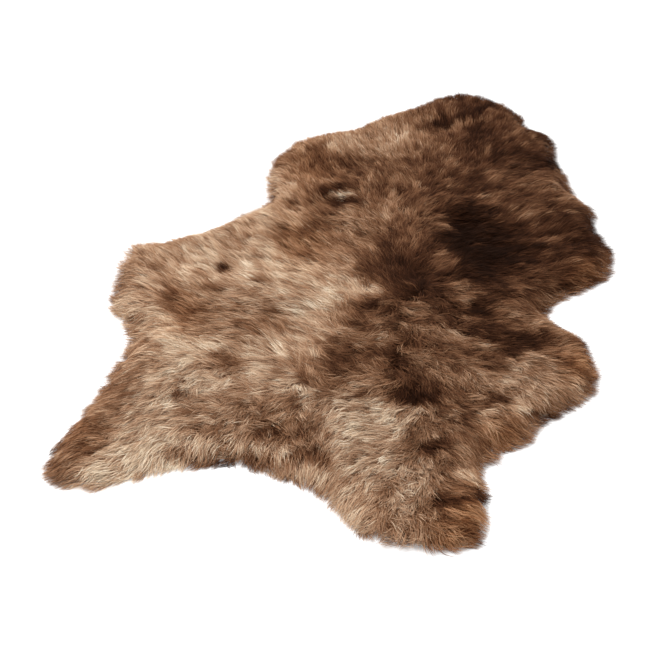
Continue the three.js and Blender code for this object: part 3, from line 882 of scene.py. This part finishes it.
def rim_distance(points, rim):
    """How far points are inside the outline, below 0 outside it."""
    a, b = rim, np.roll(rim, -1, axis=0)
    side = b - a
    length2 = np.sum(side**2, axis=1)
    out = np.empty(len(points))
    for start in range(0, len(points), CHUNK):
        p = points[start:start + CHUNK, None, :]
        share = np.clip(np.sum((p - a) * side, axis=2) / length2, 0, 1)
        gap = np.linalg.norm(p - a - share[..., None] * side, axis=2).min(axis=1)
        x, y = p[..., 0], p[..., 1]
        crosses = (a[:, 1] > y) != (b[:, 1] > y)
        reach = a[:, 0] + (y - a[:, 1]) * side[:, 0] / np.where(side[:, 1] == 0, TINY, side[:, 1])
        inside = np.sum(crosses & (x < reach), axis=1) % 2 == 1
        out[start:start + CHUNK] = np.where(inside, gap, -gap)
    return out


# Fields over the pelt
class Grid:
    """An even grid over the pelt's box, and values read between its points."""

    def __init__(self, low, high, step):
        self.low = np.array(low)
        self.step = step
        self.count = np.ceil((np.array(high) - self.low) / step).astype(int) + 1
        axes = [self.low[k] + step * np.arange(self.count[k]) for k in range(2)]
        x, y = np.meshgrid(*axes, indexing="ij")
        self.points = np.stack([x.ravel(), y.ravel()], axis=1)

    def shaped(self, values):
        """Values of the points in rows and columns."""
        return values.reshape(*self.count)

    def read(self, values, places):
        """Shaped values at any places, blended between the four points around each."""
        f = (places - self.low) / self.step
        f = np.clip(f, 0, self.count - WITHIN_END)
        i = f.astype(int)
        u, v = (f - i)[..., 0], (f - i)[..., 1]
        i, j = i[..., 0], i[..., 1]
        low = values[i, j] * (1 - u) + values[i + 1, j] * u
        high = values[i, j + 1] * (1 - u) + values[i + 1, j + 1] * u
        return low * (1 - v) + high * v


def blurred(values, known, rounds):
    """Values softened over their neighbours, counting only the known ones."""
    total, weight = values * known, known.astype(float)
    for _ in range(rounds):
        for axis in (0, 1):
            total = (np.roll(total, 1, axis) + 2 * total + np.roll(total, -1, axis)) / 4
            weight = (np.roll(weight, 1, axis) + 2 * weight + np.roll(weight, -1, axis)) / 4
    return total / np.maximum(weight, TINY)


def cad_heights(grid, inside):
    """The height of the CAD solid's top over each grid point inside the outline."""
    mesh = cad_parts[NODE].data
    corners = [v.co for v in mesh.vertices]
    faces = [p.vertices for p in mesh.polygons]
    tree = BVHTree.FromPolygons(corners, faces)
    down = Vector((0, 0, -1))
    heights = np.full(len(grid.points), EDGE_LOFT)
    for i in np.flatnonzero(inside):
        hit = tree.ray_cast(Vector((*grid.points[i], CAST_HEIGHT)), down)[0]
        if hit is not None:
            heights[i] = hit.z
    return heights


def soft_noise(places, size, seed):
    """Smooth random values from -1 to 1 that change over about size."""
    cells = np.random.default_rng(seed).uniform(-1, 1, (NOISE_CELLS, NOISE_CELLS))
    f = places / size + NOISE_CELLS / 2
    i = np.floor(f).astype(int)
    u = f - i
    u = u * u * (3 - 2 * u)
    i = i % NOISE_CELLS
    j = (i + 1) % NOISE_CELLS
    low = cells[i[..., 0], i[..., 1]] * (1 - u[..., 0]) + cells[j[..., 0], i[..., 1]] * u[..., 0]
    high = cells[i[..., 0], j[..., 1]] * (1 - u[..., 0]) + cells[j[..., 0], j[..., 1]] * u[..., 0]
    return low * (1 - u[..., 1]) + high * u[..., 1]


def rows_of(table):
    """All the rows of a table that is sorted by place."""
    return [row for rows in table.values() for row in rows]


def comb_field(grid, distance):
    """The way that the wool lies at each grid point: the x and the y of a unit vector."""
    at = np.column_stack([grid.points, np.full(len(grid.points), LOFT)])
    across, down = photo_place(at)
    total = np.zeros((len(grid.points), 2))
    for px, py, angle in rows_of(COMB):
        turn = math.radians(angle)
        start = part_place(px, py, LOFT)
        end = part_place(px + math.cos(turn), py - math.sin(turn), LOFT)
        way = (end - start) / np.linalg.norm(end - start)
        away2 = ((across - px) ** 2 + (down - py) ** 2) / COMB_REACH**2
        total += (np.exp(-away2) + COMB_FAR / (1 + away2))[:, None] * way
    total /= np.linalg.norm(total, axis=1)[:, None]
    slope = np.gradient(blurred(distance, np.ones_like(distance), RIM_BLUR), grid.step)
    outward = -np.stack([g.ravel() for g in slope], axis=1)
    outward /= np.maximum(np.linalg.norm(outward, axis=1), TINY)[:, None]
    near = np.clip(1 - distance.ravel() / RIM_TURN, 0, 1)[:, None]
    total += RIM_PULL * near * outward
    total /= np.linalg.norm(total, axis=1)[:, None]
    return [grid.shaped(total[:, k]) for k in range(2)]


def patch_shade(points):
    """The shade of the wool that shows at points of the part, from the patches."""
    across, down = photo_place(points)
    total = np.full(len(points), PLAIN_SHADE * PLAIN_WEIGHT)
    weight = np.full(len(points), PLAIN_WEIGHT)
    for px, py, half_x, half_y, tilt, shade, strength in rows_of(PATCHES):
        turn = math.radians(tilt)
        x, y = across - px, py - down
        u = (x * math.cos(turn) + y * math.sin(turn)) / half_x
        v = (y * math.cos(turn) - x * math.sin(turn)) / half_y
        w = strength * np.exp(-PATCH_EDGE * (u * u + v * v))
        total += w * shade
        weight += w
    return total / weight


def spot_values(points, rows, base):
    """A value that is base, and goes to each row's own value near its place on the photograph."""
    across, down = photo_place(points)
    value = np.full(len(points), float(base))
    for _, px, py, reach, own in rows:
        w = np.exp(-((across - px) ** 2 + (down - py) ** 2) / reach**2)
        value += w * (own - value)
    return value


def wool_colour(shade, rust):
    """Linear colours for shades from 0 to 1, turned towards rust."""
    stops = np.array([row["shade"] for row in WOOL_RAMP])
    values = [Color(np.array(row["rgb"]) / 255) for row in WOOL_RAMP]
    linear = np.array([value.from_srgb_to_scene_linear() for value in values])
    shade = np.clip(shade, 0, 1)
    colour = np.stack([np.interp(shade, stops, linear[:, k]) for k in range(3)], axis=-1)
    return colour * (1 + rust[..., None] * (np.array(RUST_TINT) - 1))


# Meshes
def make_mesh(name, places, triangles, colours=None, cells=None):
    """A new object from arrays of points and triangles, with point colours and map places."""
    mesh = bpy.data.meshes.new(name)
    mesh.vertices.add(len(places))
    mesh.vertices.foreach_set("co", places.astype(np.float32).ravel())
    mesh.loops.add(3 * len(triangles))
    mesh.loops.foreach_set("vertex_index", triangles.astype(np.int32).ravel())
    mesh.polygons.add(len(triangles))
    mesh.polygons.foreach_set("loop_start", np.arange(0, 3 * len(triangles), 3, dtype=np.int32))
    mesh.polygons.foreach_set("use_smooth", np.ones(len(triangles), dtype=bool))
    if colours is not None:
        layer = mesh.attributes.new(WOOL_COLOUR, "FLOAT_COLOR", "POINT")
        rgba = np.column_stack([colours, np.ones(len(colours))]).astype(np.float32)
        layer.data.foreach_set("color", rgba.ravel())
    if cells is not None:
        layer = mesh.uv_layers.new(name=MAP_NAME)
        layer.uv.foreach_set("vector", cells[triangles.ravel()].astype(np.float32).ravel())
    mesh.update(calc_edges=True)
    piece = bpy.data.objects.new(name, mesh)
    bpy.context.scene.collection.objects.link(piece)
    return piece


def filled_outline(loop, step):
    """Triangles that fill a loop, with inner points about step apart. The loop's points come first."""
    low, high = loop.min(axis=0), loop.max(axis=0)
    inner = Grid(low, high, step).points
    shake = np.random.default_rng(FILL_SEED).uniform(-FILL_JITTER, FILL_JITTER, inner.shape)
    inner = inner + shake * step
    inner = inner[rim_distance(inner, loop) > FILL_GAP * step]
    points = np.vstack([loop, inner])
    edges = [(i, (i + 1) % len(loop)) for i in range(len(loop))]
    result = delaunay_2d_cdt([Vector(p) for p in points], edges, [], FILL_INSIDE, FILL_MERGE)
    return np.array([tuple(v) for v in result[0]]), np.array(result[2])


def closed_sheet(name, loop, step, bottom, top, colours=None):
    """A closed body over a filled outline, between the heights bottom(x, y) and top(x, y)."""
    flat, faces = filled_outline(loop, step)
    pairs = [pair for a, b, c in faces for pair in ((a, b), (b, c), (c, a))]
    known = set(pairs)
    rim = [pair for pair in pairs if pair[::-1] not in known]
    count = len(flat)
    walls = []
    for a, b in rim:
        walls += [(a + count, b + count, b), (a + count, b, a)]
    lower = np.column_stack([flat, bottom(flat)])
    upper = np.column_stack([flat, top(flat)])
    places = np.vstack([upper, lower])
    triangles = np.vstack([faces, faces[:, ::-1] + count, np.array(walls)])
    tint = None if colours is None else colours(places)
    return make_mesh(name, places, triangles, tint)


# The wool
def per_piece(spread, count, limit=SPREAD_LIMIT):
    """Random values about 0 for locks or blades, none of them over limit times spread."""
    return spread * rng.normal(size=count).clip(-limit, limit)


def lock_places(grid, distance, rim):
    """Places of the locks' middles: an uneven net over the pelt and a little beyond its rim."""
    low, high = rim.min(axis=0), rim.max(axis=0)
    rows = Grid(low, high, LOCK_SPACING).points
    rows = rows + rng.uniform(-LOCK_JITTER, LOCK_JITTER, rows.shape) * LOCK_SPACING
    at = np.column_stack([rows, np.zeros(len(rows))])
    return rows[grid.read(distance, rows) > -LOCK_OVERHANG * spot_values(at, RIM_REACHES, 1.0)]


def lock_paths(grid, comb, places, lengths):
    """The middle line of each lock: from behind its middle, along the comb, with its own turn and curl."""
    count = len(places)
    at = np.column_stack([places, np.full(count, LOFT)])
    spread = spot_values(at, TOUSLED, LOCK_TURN)
    turn = per_piece(np.radians(spread), count, TURN_LIMIT)
    turn += np.radians(SWIRL_TURN) * soft_noise(places, SWIRL_SIZE, SWIRL_SEED)
    turn += np.radians(TUFT_TURN * spread) * soft_noise(places, TUFT_SIZE, TUFT_SEED)
    curl = per_piece(np.radians(LOCK_CURL), count, TURN_LIMIT)
    step = lengths / PATH_STEPS

    def stepped(here, sign, bend):
        """The next points of all the locks, ahead or behind."""
        way = np.arctan2(grid.read(comb[1], here), grid.read(comb[0], here)) + turn + bend
        return here + sign * step[:, None] * np.stack([np.cos(way), np.sin(way)], axis=1)

    behind, ahead = [places], [places]
    for k in range(BACK_STEPS):
        behind.append(stepped(behind[-1], -1, 0.0))
    for k in range(PATH_STEPS - BACK_STEPS):
        ahead.append(stepped(ahead[-1], 1, curl * k / PATH_STEPS))
    return np.stack(behind[:0:-1] + ahead, axis=1)


def path_at(paths, share):
    """Places along paths, at shares of a path from 0 to 1."""
    f = np.clip(share * (paths.shape[1] - 1), 0, paths.shape[1] - WITHIN_END)
    i = f.astype(int)
    u = (f - i)[..., None]
    rows = np.arange(len(paths))[:, None]
    return paths[rows, i] * (1 - u) + paths[rows, i + 1] * u


def lock_values(grid, fields, locks, coat):
    """The middle lines of a coat's locks, and each lock's rise, tone and reach beyond the rim."""
    at = np.column_stack([locks, grid.read(fields["surface"], locks)])
    at_rim = grid.read(fields["distance"], locks)
    lengths = coat["length"] * spot_values(at, LENGTHS, 1.0)
    lengths = lengths * (1 + per_piece(LENGTH_SPREAD, len(locks)))
    paths = lock_paths(grid, fields["comb"], locks, lengths)
    rise = per_piece(coat["lock rise"], len(locks))
    shade = per_piece(LOCK_SHADE, len(locks))
    share = spot_values(at, RIM_REACHES, 1.0)
    rise += RIM_LIFT * (share - 1) * np.clip(1 - at_rim / RIM_LOOSE, 0, 1)
    least, most = RIM_FUZZ
    reach = coat["rim share"] * share
    reach *= least + (most - least) * rng.uniform(size=len(locks)) ** RIM_FUZZ_POWER
    return {"path": paths, "at rim": at_rim, "rise": rise, "shade": shade, "reach": reach}


def ribbon_points(grid, surface, flat, own, radius, coat):
    """The points of tapered ribbons that run over the places flat: pairs of edge points, then a tip."""
    share = np.array(coat["stations"])[None, :]
    count = len(flat)
    rise = own["rise"] + per_piece(coat["rise"], count)
    rise -= LOCK_DOME * (radius / LOCK_RADIUS) ** 2
    over = grid.read(surface, flat)
    deep = ROOT_DEPTH * (1 - share) ** ROOT_POWER
    height = over - np.minimum(deep, ROOT_MOST * over) + rise[:, None] * share
    height = np.maximum(height, FLOOR_GAP * rng.uniform(*FLOOR_GAP_SPREAD, count)[:, None])
    spine = np.concatenate([flat, height[..., None]], axis=2)

    ways = np.gradient(spine, axis=1)
    ways /= np.maximum(np.linalg.norm(ways, axis=2), TINY)[..., None]
    across = np.cross(ways, UPWARDS)
    across /= np.maximum(np.linalg.norm(across, axis=2), TINY)[..., None]
    roll = np.radians(BLADE_ROLL) * rng.uniform(-1, 1, count)[:, None, None]
    edge = across * np.cos(roll) + np.cross(across, ways) * np.sin(roll)
    width = coat["width"] * rng.uniform(*WIDTH_SPREAD, count)[:, None] * (1 - TIP_TAPER * share**2) / 2
    width *= np.clip(own["at rim"] / RIM_LOOSE + RIM_FINE, RIM_FINE, 1)[:, None]
    left = spine - edge * width[..., None]
    right = spine + edge * width[..., None]
    last = len(coat["stations"]) - 1
    pairs = np.stack([left[:, :-1], right[:, :-1]], axis=2).reshape(count, 2 * last, 3)
    return np.concatenate([pairs, spine[:, -1:]], axis=1)


def ribbon_colours(grid, surface, flat, own, coat):
    """The colours of the ribbons' points. Each blade takes its tone from a place along its lock."""
    count = len(flat)
    seen = path_at(own["path"], rng.uniform(*COLOUR_PLACE, (count, 1)))[:, 0]
    seen = seen + (flat[:, -1] - seen) * OWN_PLACE
    seen = np.column_stack([seen, grid.read(surface, seen)])
    shade = patch_shade(seen)
    for row in MOTTLES:
        shade += MOTTLE * soft_noise(seen[:, :2], row["size"], row["seed"])
    strength = CALM + (1 - CALM) * np.sqrt(np.clip(shade, CALM_LEAST, 1))
    shade += strength * (own["shade"] + per_piece(BLADE_SHADE, count))
    share = np.array(coat["stations"])[None, :]
    # Darker towards the root by painted shade deep in the wool, paler towards the tip
    shades = shade[:, None] + coat["root painted shade"] + (coat["tip tone"] - coat["root painted shade"]) * share
    shades = np.concatenate([np.repeat(shades[:, :-1], 2, axis=1), shades[:, -1:]], axis=1)
    rust = np.repeat(spot_values(seen, RUSTY, 0.0)[:, None], shades.shape[1], axis=1)
    return wool_colour(shades, rust)


def blades(grid, fields, locks, coat):
    """The blades of one coat, from tail to neck, as rows of points and of their colours."""
    of_locks = lock_values(grid, fields, locks, coat)
    lock = rng.integers(0, len(locks), int(coat["count"] * SPARE))
    own = {name: values[lock] for name, values in of_locks.items()}
    count = len(lock)
    radius = LOCK_RADIUS * np.sqrt(rng.uniform(size=count))
    around = rng.uniform(0, 2 * math.pi, count)
    offset = radius[:, None] * np.stack([np.cos(around), np.sin(around)], axis=1)
    share = rng.uniform(*coat["share"], count)
    shift = rng.uniform(-BLADE_SHIFT, BLADE_SHIFT, count)
    gather = per_piece(coat["gather spread"], count) + coat["gather"]
    gather *= np.clip(own["at rim"] / RIM_LOOSE, RIM_GATHER, 1)
    bow, sweep = per_piece(coat["bow"], count), per_piece(coat["sweep"], count)
    way = own["path"][:, -1] - own["path"][:, 0]
    way /= np.linalg.norm(way, axis=1)[:, None]
    side = np.stack([-way[:, 1], way[:, 0]], axis=1)

    def middle(t):
        """Places over the floor at shares t along each blade."""
        place = path_at(own["path"], shift[:, None] + t * share[:, None])
        place = place + offset[:, None, :] * (1 - gather[:, None] * t)[..., None]
        sway = bow[:, None] * 4 * t * (1 - t) + sweep[:, None] * t**SWEEP_POWER
        return place + sway[..., None] * side[:, None, :]

    # A blade that would pass the rim ends at its own small distance beyond it, half a test before
    # the first one that is too far out
    tests = np.linspace(0, 1, RIM_TESTS)[None, :]
    beyond = grid.read(fields["distance"], middle(tests))
    limit = -own["reach"] + per_piece(RIM_FUZZ_SPREAD, count)
    past = beyond < limit[:, None]
    first = np.where(past.any(axis=1), past.argmax(axis=1), RIM_TESTS)
    reach = np.clip((first - 0.5) / (RIM_TESTS - 1), 0, 1)
    keep = rng.permutation(np.flatnonzero(reach > MIN_REACH))[:coat["count"]]
    keep = keep[np.argsort(locks[lock[keep], 1], kind="stable")]

    flat = middle(np.array(coat["stations"]) * reach[:, None])[keep]
    own = {name: values[keep] for name, values in own.items()}
    points = ribbon_points(grid, fields["surface"], flat, own, radius[keep], coat)
    return points, ribbon_colours(grid, fields["surface"], flat, own, coat)


def blade_triangles(last, count):
    """The triangles of count blades of last + 1 stations, whose points follow each other."""
    one = []
    for k in range(last - 1):
        a = 2 * k
        one += [(a, a + 1, a + 3), (a, a + 3, a + 2)]
    end = 2 * (last - 1)
    one.append((end, end + 1, end + 2))
    stride = 2 * last + 1
    return (np.array(one)[None] + stride * np.arange(count)[:, None, None]).reshape(-1, 3)


def blade_cells(stations, count):
    """Map places: each blade has its own small cell, from its root at the bottom to its tip."""
    last = len(stations) - 1
    side = math.ceil(math.sqrt(count))
    index = np.arange(count)
    cell = np.stack([index % side, index // side], axis=1) / side
    t = np.array(stations)
    u = np.array([CELL_EDGE, 1 - CELL_EDGE] * last + [0.5])
    v = CELL_EDGE + (1 - 2 * CELL_EDGE) * np.concatenate([np.repeat(t[:-1], 2), t[-1:]])
    own = np.stack([u, v], axis=1) / side
    return (cell[:, None, :] + own[None]).reshape(-1, 2)


def fleece(grid, fields, locks, coat):
    """The objects of one coat, split evenly from the tail to the neck."""
    places, colours = blades(grid, fields, locks, coat)
    names = [f"{coat['name']}_{part}" for part in coat["parts"]]
    last = len(coat["stations"]) - 1
    made = []
    for name, own, tint in zip(names, *(np.array_split(a, len(names)) for a in (places, colours))):
        triangles = blade_triangles(last, len(own))
        cells = blade_cells(coat["stations"], len(own))
        made.append(make_mesh(name, own.reshape(-1, 3), triangles, tint.reshape(-1, 3), cells))
    return made


# Materials
def set_inputs(node, inputs):
    """The node, with its inputs set by name."""
    for name, value in inputs.items():
        node.inputs[name].default_value = value
    return node


class Look:
    """A procedural material: its shader, and the nodes that lead to it."""

    def __init__(self, name, inputs):
        self.material = bpy.data.materials.new(name)
        self.material.use_nodes = True
        self.nodes = self.material.node_tree.nodes
        self.link = self.material.node_tree.links.new
        self.shader = set_inputs(self.nodes["Principled BSDF"], inputs)

    def noise(self, inputs):
        """Noise over the piece's own coordinates."""
        place = self.nodes.new("ShaderNodeTexCoord")
        noise = set_inputs(self.nodes.new("ShaderNodeTexNoise"), inputs)
        self.link(place.outputs["Object"], noise.inputs["Vector"])
        return noise

    def relief(self, noise, inputs):
        """Small bumps that follow a noise."""
        bump = set_inputs(self.nodes.new("ShaderNodeBump"), inputs)
        self.link(noise.outputs["Fac"], bump.inputs["Height"])
        self.link(bump.outputs["Normal"], self.shader.inputs["Normal"])


def wool_material(name, noise_inputs, relief_inputs=None):
    """Wool: its point colours with fine streaks, nearly matt."""
    look = Look(name, WOOL_SHADER)
    colour = look.nodes.new("ShaderNodeAttribute")
    colour.attribute_name = WOOL_COLOUR
    noise = look.noise(noise_inputs)
    streaks = set_inputs(look.nodes.new("ShaderNodeMapRange"), WOOL_STREAKS)
    scale = look.nodes.new("ShaderNodeVectorMath")
    scale.operation = "SCALE"
    look.link(noise.outputs["Fac"], streaks.inputs["Value"])
    look.link(colour.outputs["Color"], scale.inputs[0])
    look.link(streaks.outputs["Result"], scale.inputs["Scale"])
    look.link(scale.outputs["Vector"], look.shader.inputs["Base Color"])
    if relief_inputs:
        look.relief(noise, relief_inputs)
    return look.material


def suede_material():
    """The tanned skin side: cream suede with soft mottling and a short nap."""
    look = Look("suede", SUEDE_SHADER)
    mottle = look.noise(SUEDE_MOTTLE)
    ramp = look.nodes.new("ShaderNodeValToRGB")
    for element, row in zip(ramp.color_ramp.elements, SUEDE_COLOURS):
        element.position = row["at"]
        element.color = row["colour"]
    look.link(mottle.outputs["Fac"], ramp.inputs["Fac"])
    look.link(ramp.outputs["Color"], look.shader.inputs["Base Color"])
    look.relief(look.noise(SUEDE_NAP), SUEDE_RELIEF)
    return look.material


# The stage
def make_camera():
    """The camera that sees the pelt as the photograph shows it."""
    data = bpy.data.cameras.new("camera")
    data.lens = LENS
    data.sensor_width = SENSOR
    camera = bpy.data.objects.new("camera", data)
    camera.location = Vector(CAMERA_PLACE)
    camera.rotation_euler = Vector(FORWARD).to_track_quat("-Z", "Y").to_euler()
    bpy.context.scene.collection.objects.link(camera)
    bpy.context.scene.camera = camera


def make_floor():
    """A plain pale floor."""
    half = FLOOR_SIZE / 2
    corners = np.array([(-half, -half, 0), (half, -half, 0), (half, half, 0), (-half, half, 0)])
    floor = make_mesh("floor", corners, np.array([(0, 1, 2), (0, 2, 3)]))
    floor.data.materials.append(Look("floor", FLOOR_SHADER).material)


def make_light(name, place, size, power):
    """A soft square light that faces the middle of the part's frame."""
    data = bpy.data.lights.new(name, "AREA")
    data.shape = "SQUARE"
    data.size = size
    data.energy = power
    light = bpy.data.objects.new(name, data)
    light.location = place
    light.rotation_euler = (-Vector(place)).to_track_quat("-Z", "Y").to_euler()
    bpy.context.scene.collection.objects.link(light)


def make_world():
    """Even soft light from all round."""
    world = bpy.data.worlds.new("studio")
    world.use_nodes = True
    set_inputs(world.node_tree.nodes["Background"], WORLD_INPUTS)
    bpy.context.scene.world = world


# The pieces
def rim_inset(rim, inset):
    """The outline moved inwards."""
    way = np.roll(rim, -1, axis=0) - np.roll(rim, 1, axis=0)
    way /= np.linalg.norm(way, axis=1)[:, None]
    return rim + inset * np.stack([way[:, 1], -way[:, 0]], axis=1)


def add_skin(rim):
    """The tanned skin: a thin flat sheet, whose size and area are those of its cut edge."""

    def bottom(flat):
        return np.zeros(len(flat))

    def top(flat):
        return np.full(len(flat), SKIN_THICKNESS)

    skin = closed_sheet("skin", rim_inset(rim, SKIN_INSET), SKIN_STEP, bottom, top)
    skin.data.materials.append(suede_material())
    return skin


def add_underwool(rim, grid, surface):
    """The dense wool close to the skin, as one body under the blades, its colour darkened by painted shade.
    """

    def bottom(flat):
        return np.full(len(flat), SKIN_THICKNESS)

    def top(flat):
        return np.maximum(grid.read(surface, flat) - BASE_DEPTH, SKIN_THICKNESS + BASE_LEAST)

    def colours(places):
        return wool_colour(patch_shade(places) + BASE_PAINTED_SHADE, spot_values(places, RUSTY, 0.0))

    base = closed_sheet("underwool", rim_inset(rim, BASE_INSET), BASE_STEP, bottom, top, colours)
    base.data.materials.append(wool_material("underwool", BASE_NOISE, BASE_RELIEF))
    return base


def pelt_fields(grid, rim):
    """Over the grid: the distance inside the rim, the wool's height, and the way that it lies."""
    distance = grid.shaped(rim_distance(grid.points, rim))
    inside = distance > 0
    heights = grid.shaped(cad_heights(grid, inside.ravel()))
    heights = blurred(heights, inside, HEIGHT_BLUR)
    falls = EDGE_LOFT * np.exp(-((distance / EDGE_FALL) ** 2))
    surface = np.where(inside, heights, falls)
    return {"distance": distance, "surface": surface, "comb": comb_field(grid, distance)}


def main():
    """The stage and the whole pelt."""
    bpy.context.scene.view_settings.view_transform = "Standard"
    make_camera()
    make_world()
    make_floor()
    for row in LIGHTS:
        make_light(**row)

    rim = smooth_loop([np.array(row[1:]) + RIM_ZERO for row in RIM], RIM_STEPS)
    grid = Grid(rim.min(axis=0) - GRID_MARGIN, rim.max(axis=0) + GRID_MARGIN, GRID_STEP)
    fields = pelt_fields(grid, rim)
    pieces = [add_skin(rim), add_underwool(rim, grid, fields["surface"])]

    wool = wool_material("wool", WOOL_NOISE)
    locks = lock_places(grid, fields["distance"], rim)
    for coat in COATS:
        for part in fleece(grid, fields, locks, coat):
            part.data.materials.append(wool)
            pieces.append(part)
    for piece in pieces:
        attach(piece, BODY)
        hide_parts(NODE)


main()
